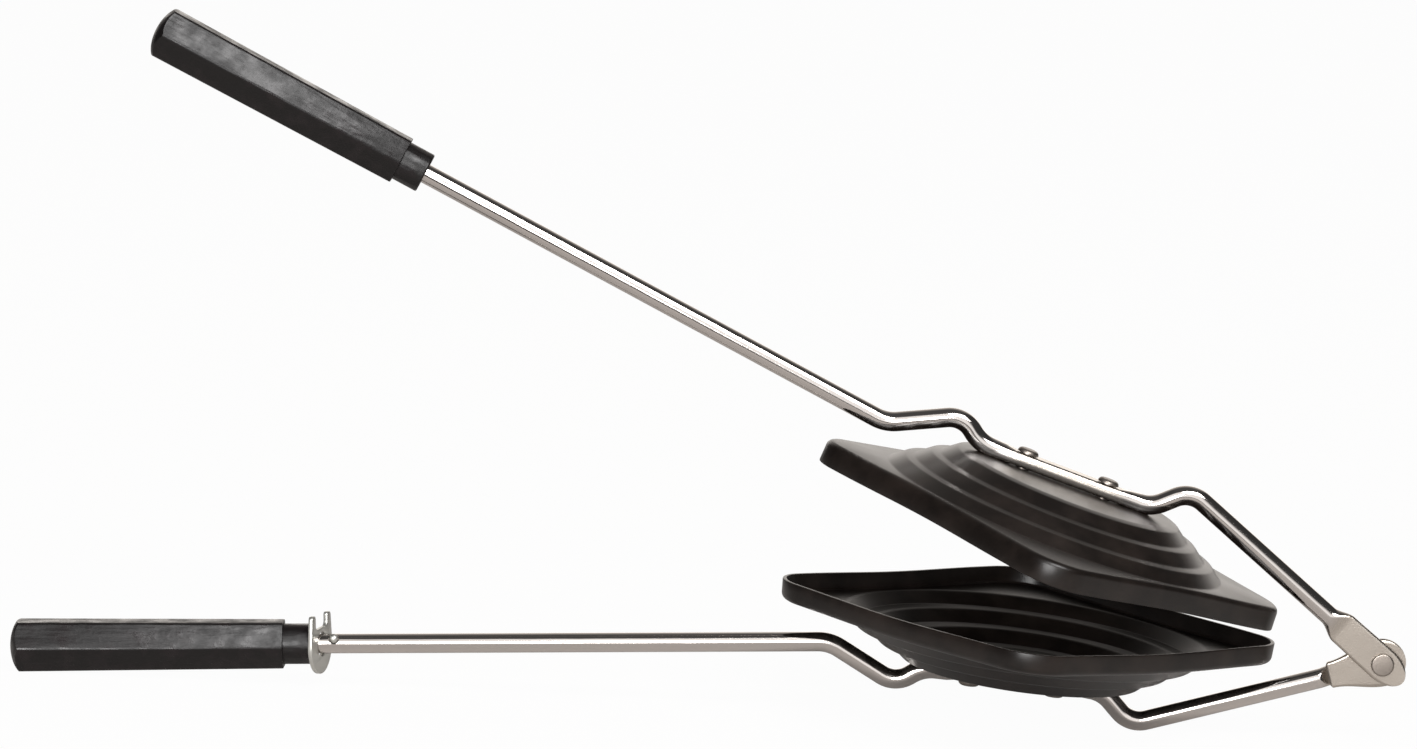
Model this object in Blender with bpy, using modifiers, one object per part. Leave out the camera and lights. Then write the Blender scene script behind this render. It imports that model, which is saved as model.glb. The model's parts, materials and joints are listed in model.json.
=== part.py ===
"""Stovetop sandwich toaster, modelled open as it stands on a table.

Two bent steel rods are pinned together at one end by a rivet and carry a grip at the other.
Each rod is pressed flat in its middle, where two rivets hold a square pressed tray that sits
on its diagonal. The two halves are the same part turned over, apart from their trays and the
eyes of their rods: the upper tray is smaller, so that its rim nests in that of the lower one.

A half is drawn in its own frame: the hinge is at zero, the rod runs towards -X, the bread
lies on the Z = 0 plane and +Z points out of the back of the tray. Lengths are in metres.
"""

import math

import bmesh
import bpy
from mathutils import Matrix, Vector

OBJECT_NAME = "stovetop_sandwich_toaster"

# Stance
OPEN_ANGLE = math.radians(13.2)
FIT_GAP = 0.0003
MERGE_DISTANCE = 0.00001
CUT_OVERRUN = 0.002

# Rod route, hinge to grip
ROD_RADIUS = 0.003
ARM_RUN = 0.0733
REAR_RISE_RUN = 0.0098
REAR_KNEE_DEPTH = 0.0090
SEAT_LENGTH = 0.0551
FRONT_RISE_RUN = 0.0077
FRONT_KNEE_DEPTH = 0.0061
WAIST_RUN = 0.0215
WAIST_DROP = 0.0157
HANDLE_LENGTH = 0.1585
HANDLE_FLARE = math.radians(7.9)
TANG_LENGTH = 0.060
REAR_KNEE_BEND = 0.008
SEAT_REAR_BEND = 0.010
SEAT_FRONT_BEND = 0.012
FRONT_KNEE_BEND = 0.008
WAIST_BEND = 0.012

# Rod sections
SEAT_THICKNESS = 0.0042
SEAT_WIDTH = 0.0074
SEAT_FADE = 0.0050
EYE_THICKNESS = 0.0023
EYE_LAP = 0.00015
EYE_START = 0.0160
SMOOTH_FADE = 0.0062
SHOULDER_FADE = 0.0009
UPPER_EYE_TIP = 0.0084
UPPER_EYE_HALF_WIDTH = 0.0052
UPPER_NECK_HALF_WIDTH = 0.0050
LOWER_EYE_TIP = 0.0074
LOWER_EYE_HALF_WIDTH = 0.0074
LOWER_NECK_HALF_WIDTH = 0.0041

# Trays
TRAY_DIAGONAL = 0.1510
CORNER_RADIUS = 0.0150
SIDE_BOW = 0.0009
TRAY_WALL = 0.0012
NEST_GAP = 0.0008
RIM_LAP = 0.0022
LOWER_RIM_HEIGHT = 0.0063
UPPER_RIM_HEIGHT = 0.0072
RIM_DIP = 0.0008
RIM_DRAFT = 0.0003
RIM_FILLET = 0.0018
FLANGE_RISE = 0.0008
DOME_RADIUS = 0.0560
PLATEAU_RADIUS = 0.0330
PLATEAU_HEIGHT = 0.0196
RISER_RUN = 0.0042
TRAY_SHIFT = 0.0020

# Tray rivets
TRAY_RIVET_PITCH = 0.0260
TRAY_RIVET_RADIUS = 0.0020
TRAY_RIVET_HEAD_RADIUS = 0.0033
TRAY_RIVET_HEAD_HEIGHT = 0.0013
TRAY_RIVET_TAIL_RADIUS = 0.0030
TRAY_RIVET_TAIL_HEIGHT = 0.0008

# Hinge rivet
HINGE_RIVET_RADIUS = 0.0022
HINGE_HEAD_RADIUS = 0.0035
HINGE_HEAD_HEIGHT = 0.0010

# Grips
GRIP_LENGTH = 0.0839
GRIP_BUTT_FLATS = 0.0152
GRIP_FRONT_FLATS = 0.0141
GRIP_EDGE_RADIUS = 0.0006
BUTT_DOME_LENGTH = 0.0052
BUTT_DOME_RADIUS = 0.0094
COLLAR_LENGTH = 0.0082
COLLAR_RADIUS = 0.0062
COLLAR_CHAMFER = 0.0005

# Latch
LATCH_THICKNESS = 0.0013
LATCH_TILT = math.radians(15.0)
LATCH_RADIUS = 0.0092
LATCH_HOLE_RADIUS = 0.0037
LATCH_NOTCH_HALF_WIDTH = 0.0050
LATCH_NOTCH_FLOOR = 0.0049
LATCH_NOTCH_FILLET = 0.0015
LATCH_FAR_TIP = 0.0096
LATCH_NEAR_TIP = 0.0088
LATCH_TIP_INSET = 0.0011
LATCH_TIP_ROUND = 0.0010
LATCH_STAND_OFF = 0.0028
STOP_RADIUS = 0.0014
STOP_REACH = 0.0045
STOP_STAND_OFF = 0.0072
STOP_LEAN = math.radians(50)

# Counts and shape shares
OCTANT_STEPS = 7
CORNER_CROWDING_SHARE = 1.6
STEP_COUNT = 3
RISER_SHARE = 0.86
FILLET_STEPS = 2
ROD_SIDES = 12
BEND_STEPS = 5
FADE_STEPS = 4
EYE_STEPS = 7
TURNED_STEPS = 24
HEAD_STEPS = 4
HEX_SIDES = 6
LATCH_ARC_STEPS = 14
LATCH_ROUND_STEPS = 4
ROUND_POWER = 2.0
FLAT_POWER = 5.0
EYE_LAST_SHARE = 0.94
SHARP_EDGE = math.radians(32)
SEAT_SQUARE_SHARE = 0.5
TAIL_TAPER_SHARE = 0.5
BUTT_REST_SHARE = 0.5

# Places that follow from the sizes above
SEAT_DROP = PLATEAU_HEIGHT - RIM_LAP + FIT_GAP + SEAT_THICKNESS / 2
REAR_KNEE = Vector((-ARM_RUN, SEAT_DROP + REAR_KNEE_DEPTH))
SEAT_REAR = Vector((REAR_KNEE.x - REAR_RISE_RUN, SEAT_DROP))
SEAT_FRONT = Vector((SEAT_REAR.x - SEAT_LENGTH, SEAT_DROP))
FRONT_KNEE = Vector((SEAT_FRONT.x - FRONT_RISE_RUN, SEAT_DROP + FRONT_KNEE_DEPTH))
WAIST = Vector((FRONT_KNEE.x - WAIST_RUN, WAIST_DROP))
HANDLE_HEADING = Vector((-math.cos(HANDLE_FLARE), math.sin(HANDLE_FLARE)))
COLLAR_FRONT = WAIST + HANDLE_HEADING * HANDLE_LENGTH
TANG_END = COLLAR_FRONT + HANDLE_HEADING * TANG_LENGTH
HINGE = Vector((0, 0))
SEAT_CENTRE = (SEAT_FRONT + SEAT_REAR) / 2
TRAY_CENTRE_X = SEAT_CENTRE.x + TRAY_SHIFT
EYE_OFFSET = EYE_LAP + EYE_THICKNESS / 2

parts_collection = None
cutters_collection = None


def clear_scene():
    for item in list(bpy.data.objects):
        bpy.data.objects.remove(item, do_unlink=True)


def make_collections():
    global parts_collection, cutters_collection
    parts_collection = bpy.data.collections.new(OBJECT_NAME)
    cutters_collection = bpy.data.collections.new("cutters")
    for collection in (parts_collection, cutters_collection):
        bpy.context.scene.collection.children.link(collection)


def make_material(name, colour, roughness, metallic):
    material = bpy.data.materials.new(name)
    material.use_nodes = True
    shader = material.node_tree.nodes["Principled BSDF"]
    shader.inputs["Base Color"].default_value = (*colour, 1)
    shader.inputs["Roughness"].default_value = roughness
    shader.inputs["Metallic"].default_value = metallic
    material.diffuse_color = (*colour, 1)
    return material


FINISHES = {
    "tray": ((0.026, 0.020, 0.018), 0.42, 0.0),
    "rod": ((0.62, 0.60, 0.58), 0.12, 1.0),
    "grip": ((0.020, 0.016, 0.016), 0.36, 0.0),
    "rivet": ((0.55, 0.53, 0.50), 0.30, 1.0),
    "latch": ((0.50, 0.50, 0.47), 0.34, 1.0),
}


def add_empty(name, parent, location=(0, 0, 0), rotation=(0, 0, 0)):
    empty = bpy.data.objects.new(name, None)
    empty.parent = parent
    empty.location = location
    empty.rotation_euler = rotation
    bpy.context.scene.collection.objects.link(empty)
    return empty


def add_mesh_object(name, mesh, parent, collection=None):
    item = bpy.data.objects.new(name, mesh)
    item.parent = parent
    (collection or parts_collection).objects.link(item)
    return item


def finish_part(item, finish):
    """Smooth shading and the part's own material."""
    item.data.shade_smooth()
    item.data.set_sharp_from_angle(angle=SHARP_EDGE)
    item.data.materials.clear()
    item.data.materials.append(make_material(item.name, *FINISHES[finish]))
    return item


def hide_as_cutter(item):
    item.hide_render = True
    item.display_type = "WIRE"
    return item


def add_boolean(item, other, operation="DIFFERENCE"):
    boolean = item.modifiers.new(other.name, "BOOLEAN")
    boolean.operation = operation
    boolean.solver = "EXACT"
    boolean.object = other


def mesh_from_rings(name, rings, caps):
    """A skin over rings of equally many points, with a flat face over each end in caps."""
    shape = bmesh.new()
    loops = [[shape.verts.new(point) for point in ring] for ring in rings]
    for here, there in zip(loops, loops[1:]):
        for i, corner in enumerate(here):
            following = (i + 1) % len(here)
            shape.faces.new((corner, here[following], there[following], there[i]))
    for end in caps:
        shape.faces.new(loops[end])
    bmesh.ops.recalc_face_normals(shape, faces=shape.faces)
    mesh = bpy.data.meshes.new(name)
    shape.to_mesh(mesh)
    shape.free()
    return mesh


def turned(name, profile, parent, location=(0, 0, 0), rotation=(0, 0, 0), cutter=False):
    """A turned piece: the profile gives (radius, height) from its top down its outer side."""
    mesh = bpy.data.meshes.new(name)
    edges = [(i, i + 1) for i in range(len(profile) - 1)]
    if profile[0] == profile[-1]:
        profile = profile[:-1]
        edges[-1] = (len(profile) - 1, 0)
    mesh.from_pydata([(radius, 0, height) for radius, height in profile], edges, [])
    collection = cutters_collection if cutter else parts_collection
    item = add_mesh_object(name, mesh, parent, collection)
    item.location = location
    item.rotation_euler = rotation
    screw = item.modifiers.new("Turning", "SCREW")
    screw.axis = "Z"
    screw.angle = math.tau
    screw.steps = TURNED_STEPS
    screw.render_steps = TURNED_STEPS
    screw.use_merge_vertices = True
    screw.merge_threshold = MERGE_DISTANCE
    screw.use_smooth_shade = True
    if cutter:
        hide_as_cutter(item)
    return item


def drill(name, item, radius, depth, location, rotation=(0, 0, 0)):
    """A round hole through the item, drilled in its parent's frame."""
    half = depth / 2
    profile = [(0, half), (radius, half), (radius, -half), (0, -half)]
    add_boolean(item, turned(name, profile, item.parent, location, rotation, cutter=True))


def ease(value, start, end):
    """Zero before start and one after end, with a soft change between them."""
    share = min(max((value - start) / (end - start), 0), 1)
    return share * share * (3 - 2 * share)


def mix(first, second, share):
    return first + (second - first) * share


# Rods

def bend(before, corner, after, radius):
    """Points of the round bend that joins two straight runs at a corner."""
    into = (corner - before).normalized()
    out = (after - corner).normalized()
    turn = math.atan2(into.x * out.y - into.y * out.x, into.dot(out))
    start = corner - into * radius * math.tan(abs(turn) / 2)
    to_centre = Vector((-into.y, into.x)) * math.copysign(radius, turn)
    centre = start + to_centre
    points = []
    for i in range(BEND_STEPS + 1):
        swing = Matrix.Rotation(turn * i / BEND_STEPS, 2)
        points.append(centre + swing @ (start - centre))
    return points, centre


def along(start, end, steps):
    """Points strictly between two others, evenly spaced."""
    return [start.lerp(end, i / steps) for i in range(1, steps)]


def rod_route(fade, tip):
    """The rod's centre line from the tang in the grip to the far side of the hinge eye."""
    waist = bend(TANG_END, WAIST, FRONT_KNEE, WAIST_BEND)[0]
    front_knee = bend(WAIST, FRONT_KNEE, SEAT_FRONT, FRONT_KNEE_BEND)[0]
    seat_front = bend(FRONT_KNEE, SEAT_FRONT, SEAT_REAR, SEAT_FRONT_BEND)[0]
    seat_rear = bend(SEAT_FRONT, SEAT_REAR, REAR_KNEE, SEAT_REAR_BEND)[0]
    rear_knee = bend(SEAT_REAR, REAR_KNEE, HINGE, REAR_KNEE_BEND)[0]
    arm = (HINGE - REAR_KNEE).normalized()
    route = [TANG_END, COLLAR_FRONT]
    route += waist + front_knee + seat_front
    route += along(seat_front[-1], seat_rear[0], FADE_STEPS + 1)
    route += seat_rear + rear_knee
    eye_round = arm * -EYE_START
    round_end = eye_round - arm * fade
    route += [round_end] + along(round_end, eye_round, FADE_STEPS) + [eye_round]
    route += along(eye_round, arm * -tip, EYE_STEPS // 2)
    swings = [math.pi / 2 * (i / EYE_STEPS - 1) for i in range(2 * EYE_STEPS)]
    swings.append(math.pi / 2 * EYE_LAST_SHARE)
    return route + [arm * tip * math.sin(swing) for swing in swings]


def eye_half_width(distance, tip, half_width, neck):
    """Half the eye's width at a signed distance past the hinge, along the arm."""
    oval = half_width * math.sqrt(max(1 - (distance / tip) ** 2, 0))
    if distance < 0:
        return max(oval, mix(half_width, neck, ease(-distance, 0, EYE_START)), neck)
    return oval


def make_rod(name, parent, fade, tip, half_width, neck):
    """The rod: round, pressed flat under the tray, and forged into a thin eye at the hinge."""
    route = rod_route(fade, tip)
    arm = (HINGE - REAR_KNEE).normalized()
    rings = []
    for i, point in enumerate(route):
        heading = (route[min(i + 1, len(route) - 1)] - route[max(i - 1, 0)]).normalized()
        across = Vector((-heading.y, heading.x))
        flat_seat = ease(point.x, SEAT_FRONT.x - SEAT_FADE, SEAT_FRONT.x)
        flat_seat *= 1 - ease(point.x, SEAT_REAR.x, SEAT_REAR.x + SEAT_FADE)
        distance = point.dot(arm)
        flat_eye = ease(distance, -EYE_START - fade, -EYE_START)
        if point.x < REAR_KNEE.x:
            flat_eye = 0
        half_across = mix(ROD_RADIUS, SEAT_THICKNESS / 2, flat_seat)
        half_deep = mix(ROD_RADIUS, SEAT_WIDTH / 2, flat_seat)
        eye_width = eye_half_width(distance, tip, half_width, neck)
        half_across = mix(half_across, eye_width, flat_eye)
        half_deep = mix(half_deep, EYE_THICKNESS / 2, flat_eye)
        power = 2 / mix(ROUND_POWER, FLAT_POWER, max(flat_seat * SEAT_SQUARE_SHARE, flat_eye))
        ring = []
        for k in range(ROD_SIDES):
            turn = math.tau * k / ROD_SIDES
            side = math.copysign(abs(math.cos(turn)) ** power, math.cos(turn))
            deep = math.copysign(abs(math.sin(turn)) ** power, math.sin(turn))
            place = point + across * half_across * side
            ring.append((place.x, half_deep * deep - EYE_OFFSET * flat_eye, place.y))
        rings.append(ring)
    rod = add_mesh_object(name, mesh_from_rings(name, rings, (0, -1)), parent)
    return finish_part(rod, "rod")


# Trays

def outline_reach(angle, inset):
    """Distance from the tray's centre to its outline, which is inset by the given amount."""
    radius = CORNER_RADIUS - inset
    middle = (TRAY_DIAGONAL / 2 - CORNER_RADIUS) / math.sqrt(2)
    turn = abs(angle) % (math.pi / 2)
    turn = min(turn, math.pi / 2 - turn)
    half_side = middle + radius + SIDE_BOW
    bow = SIDE_BOW * (math.tan(turn) / middle) ** 2
    if bow > 0:
        x = (math.sqrt(1 + 4 * bow * half_side) - 1) / (2 * bow)
    else:
        x = half_side
    if x * math.tan(turn) <= middle:
        return x / math.cos(turn)
    lean = middle * (math.cos(turn) + math.sin(turn))
    return lean + math.sqrt(lean ** 2 - 2 * middle ** 2 + radius ** 2)


def tray_angles():
    """Directions round the tray, closer together towards its corners."""
    octant = []
    for i in range(OCTANT_STEPS):
        share = 1 - (1 - i / OCTANT_STEPS) ** CORNER_CROWDING_SHARE
        octant.append(math.pi / 4 * share)
    quarter = octant + [math.pi / 2 - turn for turn in [math.pi / 4] + octant[:0:-1]]
    return [turn + math.pi / 2 * k for k in range(4) for turn in quarter]


def tray_rings(inset, rim_height):
    """Rings of the tray's outer face, from the rim's edge up to the edge of its plateau.

    The edge dips in the middle of each side, and the flange rises to the dome's foot there.
    """
    angles = tray_angles()
    corner_share = [math.sin(2 * turn) ** 2 for turn in angles]

    def ring(reaches, heights):
        points = []
        for turn, reach, height in zip(angles, reaches, heights):
            place = turn + math.pi / 4
            x = TRAY_CENTRE_X + reach * math.cos(place)
            points.append((x, reach * math.sin(place), height - RIM_LAP))
        return points

    def outline(extra, heights):
        return ring([outline_reach(turn, inset) - extra for turn in angles], heights)

    def circle(radius, height):
        return ring([radius] * len(angles), [height] * len(angles))

    edge = [RIM_DIP * (1 - share) for share in corner_share]
    rings = [outline(0, edge), outline(RIM_DRAFT, [rim_height - RIM_FILLET] * len(angles))]
    for i in range(1, FILLET_STEPS + 1):
        turn = math.pi / 2 * i / FILLET_STEPS
        extra = RIM_DRAFT + RIM_FILLET * (1 - math.cos(turn))
        height = rim_height - RIM_FILLET * (1 - math.sin(turn))
        lift = [FLANGE_RISE * (1 - share) * i / FILLET_STEPS for share in corner_share]
        rings.append(outline(extra, [height + up for up in lift]))
    dome_radius = DOME_RADIUS - inset
    dome_foot = rim_height + FLANGE_RISE
    tread_run = (dome_radius - PLATEAU_RADIUS) / STEP_COUNT
    step_rise = (PLATEAU_HEIGHT - dome_foot) / STEP_COUNT
    for k in range(STEP_COUNT):
        foot = dome_radius - tread_run * k
        height = dome_foot + step_rise * k
        rings.append(circle(foot, height))
        rings.append(circle(foot - RISER_RUN, height + step_rise * RISER_SHARE))
    rings.append(circle(PLATEAU_RADIUS, PLATEAU_HEIGHT))
    return rings


def make_tray(name, parent, inset, rim_height):
    """A pressed tray: square rim with round corners, and a stepped round dome for a back."""
    mesh = mesh_from_rings(name, tray_rings(inset, rim_height), (-1,))
    tray = add_mesh_object(name, mesh, parent)
    wall = tray.modifiers.new("Wall", "SOLIDIFY")
    wall.thickness = TRAY_WALL
    wall.offset = -1
    wall.use_even_offset = True
    wall.use_rim = True
    return finish_part(tray, "tray")


# Rivets

def dome_head(radius, height, base):
    """Profile of a low rivet head that stands on the plane at base."""
    points = []
    for i in range(HEAD_STEPS + 1):
        turn = math.pi / 2 * i / HEAD_STEPS
        points.append((radius * math.sin(turn), base + height * math.cos(turn)))
    return points


def make_tray_rivet(name, parent, x):
    """A rivet through the flat of the rod and the plateau of the tray."""
    seat_face = SEAT_DROP + SEAT_THICKNESS / 2 + FIT_GAP
    tail_face = PLATEAU_HEIGHT - RIM_LAP - TRAY_WALL - FIT_GAP
    profile = dome_head(TRAY_RIVET_HEAD_RADIUS, TRAY_RIVET_HEAD_HEIGHT, seat_face)
    profile += [(TRAY_RIVET_RADIUS, seat_face), (TRAY_RIVET_RADIUS, tail_face)]
    profile += [(TRAY_RIVET_TAIL_RADIUS, tail_face)]
    profile += [(TRAY_RIVET_TAIL_RADIUS * TAIL_TAPER_SHARE, tail_face - TRAY_RIVET_TAIL_HEIGHT)]
    profile += [(0, tail_face - TRAY_RIVET_TAIL_HEIGHT)]
    return finish_part(turned(name, profile, parent, (x, 0, 0)), "rivet")


def make_hinge_rivet(name, parent):
    """The pin of the hinge, with a low head on each side of the two eyes."""
    face = EYE_LAP + EYE_THICKNESS + FIT_GAP
    upper = dome_head(HINGE_HEAD_RADIUS, HINGE_HEAD_HEIGHT, face)
    profile = upper + [(HINGE_RIVET_RADIUS, face)]
    profile += [(radius, -height) for radius, height in reversed(profile)]
    return finish_part(turned(name, profile, parent, rotation=(math.pi / 2, 0, 0)), "rivet")


# Grips

def grip_station(x):
    """Half the distance across the grip's flats at a place on its axis."""
    share = (x + COLLAR_LENGTH) / -GRIP_LENGTH
    return mix(GRIP_FRONT_FLATS, GRIP_BUTT_FLATS, share) / 2


def make_grip(name, handle):
    """A moulded six-sided grip with a domed butt, a round collar and a bore for the tang."""
    butt = -COLLAR_LENGTH - GRIP_LENGTH
    blank_end = butt - CUT_OVERRUN
    blank_length = -COLLAR_LENGTH - blank_end
    to_corners = 1 / math.cos(math.pi / HEX_SIDES)
    bpy.ops.mesh.primitive_cone_add(
        vertices=HEX_SIDES,
        radius1=grip_station(blank_end) * to_corners,
        radius2=grip_station(-COLLAR_LENGTH) * to_corners,
        depth=blank_length,
    )
    grip = bpy.context.active_object
    grip.name = name
    grip.data.name = name
    lay_down = Matrix.Rotation(math.pi / 2, 4, "Y")
    middle = Matrix.Translation((blank_end + blank_length / 2, 0, 0))
    grip.data.transform(middle @ lay_down)
    for collection in list(grip.users_collection):
        collection.objects.unlink(grip)
    parts_collection.objects.link(grip)
    grip.parent = handle

    edges = grip.modifiers.new("Edges", "BEVEL")
    edges.width = GRIP_EDGE_RADIUS
    edges.segments = 2
    edges.limit_method = "ANGLE"

    along_x = (0, math.pi / 2, 0)
    profile = [(0, CUT_OVERRUN), (BUTT_DOME_RADIUS, CUT_OVERRUN)]
    for i in range(2 * HEAD_STEPS + 1):
        turn = math.pi / 2 * i / (2 * HEAD_STEPS)
        height = butt + BUTT_DOME_LENGTH * (1 - math.sin(turn))
        profile.append((BUTT_DOME_RADIUS * math.cos(turn), height))
    profile[-1] = (0, butt)
    envelope = turned(name + "_dome", profile, handle, rotation=along_x, cutter=True)
    add_boolean(grip, envelope, "INTERSECT")

    profile = [(0, 0), (COLLAR_RADIUS - COLLAR_CHAMFER, 0), (COLLAR_RADIUS, -COLLAR_CHAMFER)]
    profile += [(COLLAR_RADIUS, -COLLAR_LENGTH - CUT_OVERRUN)]
    profile += [(0, -COLLAR_LENGTH - CUT_OVERRUN)]
    collar = turned(name + "_collar", profile, handle, rotation=along_x, cutter=True)
    add_boolean(grip, collar, "UNION")

    bore = ROD_RADIUS + FIT_GAP
    bottom = -TANG_LENGTH - FIT_GAP
    profile = [(0, CUT_OVERRUN), (bore, CUT_OVERRUN), (bore, bottom), (0, bottom)]
    hole = turned(name + "_bore", profile, handle, rotation=along_x, cutter=True)
    add_boolean(grip, hole)
    return finish_part(grip, "grip")


# Latch

def arc(centre, radius, start, end, steps):
    """Points of an arc, its two ends included."""
    points = []
    for i in range(steps + 1):
        turn = mix(start, end, i / steps)
        points.append((centre[0] + radius * math.cos(turn), centre[1] + radius * math.sin(turn)))
    return points


def latch_outline():
    """The latch plate: round below the rod, with a notch between two prongs above it."""
    quarter = math.pi / 2
    outline = arc((0, 0), LATCH_RADIUS, -math.pi, 0, LATCH_ARC_STEPS)
    for side, tip in ((1, LATCH_FAR_TIP), (-1, LATCH_NEAR_TIP)):
        outer = LATCH_RADIUS - LATCH_TIP_INSET - LATCH_TIP_ROUND
        inner = LATCH_NOTCH_HALF_WIDTH + LATCH_TIP_ROUND
        floor_y = LATCH_NOTCH_HALF_WIDTH - LATCH_NOTCH_FILLET
        floor_z = LATCH_NOTCH_FLOOR + LATCH_NOTCH_FILLET
        prong = arc((outer, tip - LATCH_TIP_ROUND), LATCH_TIP_ROUND, 0, quarter, LATCH_ROUND_STEPS)
        prong += arc((inner, tip - LATCH_TIP_ROUND), LATCH_TIP_ROUND, quarter, math.pi,
                     LATCH_ROUND_STEPS)
        prong += arc((floor_y, floor_z), LATCH_NOTCH_FILLET, 0, -quarter, LATCH_ROUND_STEPS)
        if side < 0:
            prong = [(-y, z) for y, z in reversed(prong)]
        outline += prong
    return outline


def make_latch(name, pivot):
    """The stamped latch plate, which hangs on the lower rod by its hole."""
    curve = bpy.data.curves.new(name, "CURVE")
    curve.dimensions = "2D"
    curve.fill_mode = "BOTH"
    curve.extrude = LATCH_THICKNESS / 2
    hole = arc((0, 0), LATCH_HOLE_RADIUS, 0, math.tau, TURNED_STEPS)[:-1]
    for points in (latch_outline(), hole):
        spline = curve.splines.new("POLY")
        spline.points.add(len(points) - 1)
        for corner, (y, z) in zip(spline.points, points):
            corner.co = (y, z, 0, 1)
        spline.use_cyclic_u = True
    drawn = bpy.data.objects.new(name + "_outline", curve)
    bpy.context.scene.collection.objects.link(drawn)
    bpy.context.view_layer.update()
    graph = bpy.context.evaluated_depsgraph_get()
    mesh = bpy.data.meshes.new_from_object(drawn.evaluated_get(graph))
    mesh.name = name
    bpy.data.objects.remove(drawn, do_unlink=True)
    shape = bmesh.new()
    shape.from_mesh(mesh)
    bmesh.ops.remove_doubles(shape, verts=shape.verts, dist=MERGE_DISTANCE)
    bmesh.ops.recalc_face_normals(shape, faces=shape.faces)
    shape.to_mesh(mesh)
    shape.free()
    stand_up = Matrix(((0, 0, 1, 0), (-1, 0, 0, 0), (0, -1, 0, 0), (0, 0, 0, 1)))
    mesh.transform(Matrix.Rotation(LATCH_TILT, 4, "Z") @ stand_up)
    return finish_part(add_mesh_object(name, mesh, pivot), "latch")


def make_latch_stop(name, handle, rod):
    """The round-ended pin through the rod that keeps the latch beside the grip."""
    top = dome_head(STOP_RADIUS, STOP_RADIUS, STOP_REACH - STOP_RADIUS)
    profile = top + [(radius, -height) for radius, height in reversed(top)]
    stop = turned(name, profile, handle, (STOP_STAND_OFF, 0, 0), (STOP_LEAN, 0, 0))
    place = COLLAR_FRONT - HANDLE_HEADING * STOP_STAND_OFF
    drill(name + "_hole", rod, STOP_RADIUS + FIT_GAP, 2 * STOP_REACH, (place.x, 0, place.y),
          (STOP_LEAN, HANDLE_FLARE, 0))
    return finish_part(stop, "latch")


# Assembly

def rest_tilt():
    """Slope of the lower tray when its half stands on the rear knee and the butt of its grip."""
    knee_centre = bend(SEAT_REAR, REAR_KNEE, HINGE, REAR_KNEE_BEND)[1]
    knee_depth = knee_centre.y + REAR_KNEE_BEND + ROD_RADIUS
    reach = COLLAR_LENGTH + GRIP_LENGTH - BUTT_DOME_LENGTH * BUTT_REST_SHARE
    axis = COLLAR_FRONT + HANDLE_HEADING * reach
    out = Vector((-HANDLE_HEADING.y, HANDLE_HEADING.x)) * -GRIP_BUTT_FLATS / 2
    butt = axis + out
    return math.atan2(butt.y - knee_depth, knee_centre.x - butt.x)


def make_half(side, frame, fade, tip, half_width, neck, inset, rim_height):
    """One half: rod, tray with its two rivets, and grip."""
    rod = make_rod(side + "_rod", frame, fade, tip, half_width, neck)
    tray = make_tray(side + "_tray", frame, inset, rim_height)
    hinge_hole = HINGE_RIVET_RADIUS + FIT_GAP
    eye_depth = 2 * (EYE_OFFSET + EYE_THICKNESS)
    drill(side + "_hinge_hole", rod, hinge_hole, eye_depth, (0, 0, 0), (math.pi / 2, 0, 0))
    rivet_hole = TRAY_RIVET_RADIUS + FIT_GAP
    hole_depth = SEAT_THICKNESS + 2 * (TRAY_WALL + CUT_OVERRUN)
    for end, x in (("front", SEAT_CENTRE.x - TRAY_RIVET_PITCH / 2),
                   ("rear", SEAT_CENTRE.x + TRAY_RIVET_PITCH / 2)):
        for item in (rod, tray):
            drill(f"{item.name}_{end}_hole", item, rivet_hole, hole_depth, (x, 0, SEAT_DROP))
        make_tray_rivet(f"{side}_{end}_rivet", frame, x)
    place = (COLLAR_FRONT.x, 0, COLLAR_FRONT.y)
    handle = add_empty(side + "_handle", frame, place, (0, HANDLE_FLARE, 0))
    make_grip(side + "_grip", handle)
    return rod, handle


def stand_on_floor(stand):
    """Moves the whole toaster so that it stands on Z = 0, centred over the origin."""
    bpy.context.view_layer.update()
    graph = bpy.context.evaluated_depsgraph_get()
    corners = []
    for item in parts_collection.objects:
        mesh = item.evaluated_get(graph).to_mesh()
        corners += [item.matrix_world @ corner.co for corner in mesh.vertices]
        item.evaluated_get(graph).to_mesh_clear()
    low = Vector([min(corner[i] for corner in corners) for i in range(3)])
    high = Vector([max(corner[i] for corner in corners) for i in range(3)])
    middle = (low + high) / 2
    stand.location = (-middle.x, -middle.y, -low.z)
    bpy.context.view_layer.update()


def main():
    clear_scene()
    make_collections()
    tilt = rest_tilt()
    stand = add_empty("hinge_axis", None)
    lower = add_empty("lower_half", stand, rotation=(math.pi, tilt, 0))
    upper = add_empty("upper_half", stand, rotation=(0, tilt + OPEN_ANGLE, 0))
    rod, handle = make_half("lower", lower, SHOULDER_FADE, LOWER_EYE_TIP, LOWER_EYE_HALF_WIDTH,
                            LOWER_NECK_HALF_WIDTH, 0, LOWER_RIM_HEIGHT)
    make_half("upper", upper, SMOOTH_FADE, UPPER_EYE_TIP, UPPER_EYE_HALF_WIDTH,
              UPPER_NECK_HALF_WIDTH, TRAY_WALL + NEST_GAP, UPPER_RIM_HEIGHT)
    make_hinge_rivet("hinge_rivet", lower)
    pivot = add_empty("latch_pivot", handle, (LATCH_STAND_OFF, 0, 0))
    make_latch("latch_plate", pivot)
    make_latch_stop("latch_stop", handle, rod)
    stand_on_floor(stand)


if __name__ == "__main__":
    main()
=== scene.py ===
"""Looks of a stovetop sandwich toaster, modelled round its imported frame.

A half is modelled in its own frame: the hinge is at zero, the rod runs towards -X, the bread lies
on the Z = 0 plane and +Z points out of the back of the tray. Each finished piece is then placed on
its half, and its place goes into its mesh. Lengths are in metres.
"""

import functools
import json
import math
import operator

import bmesh
import bpy
from mathutils import Matrix, Vector


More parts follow.
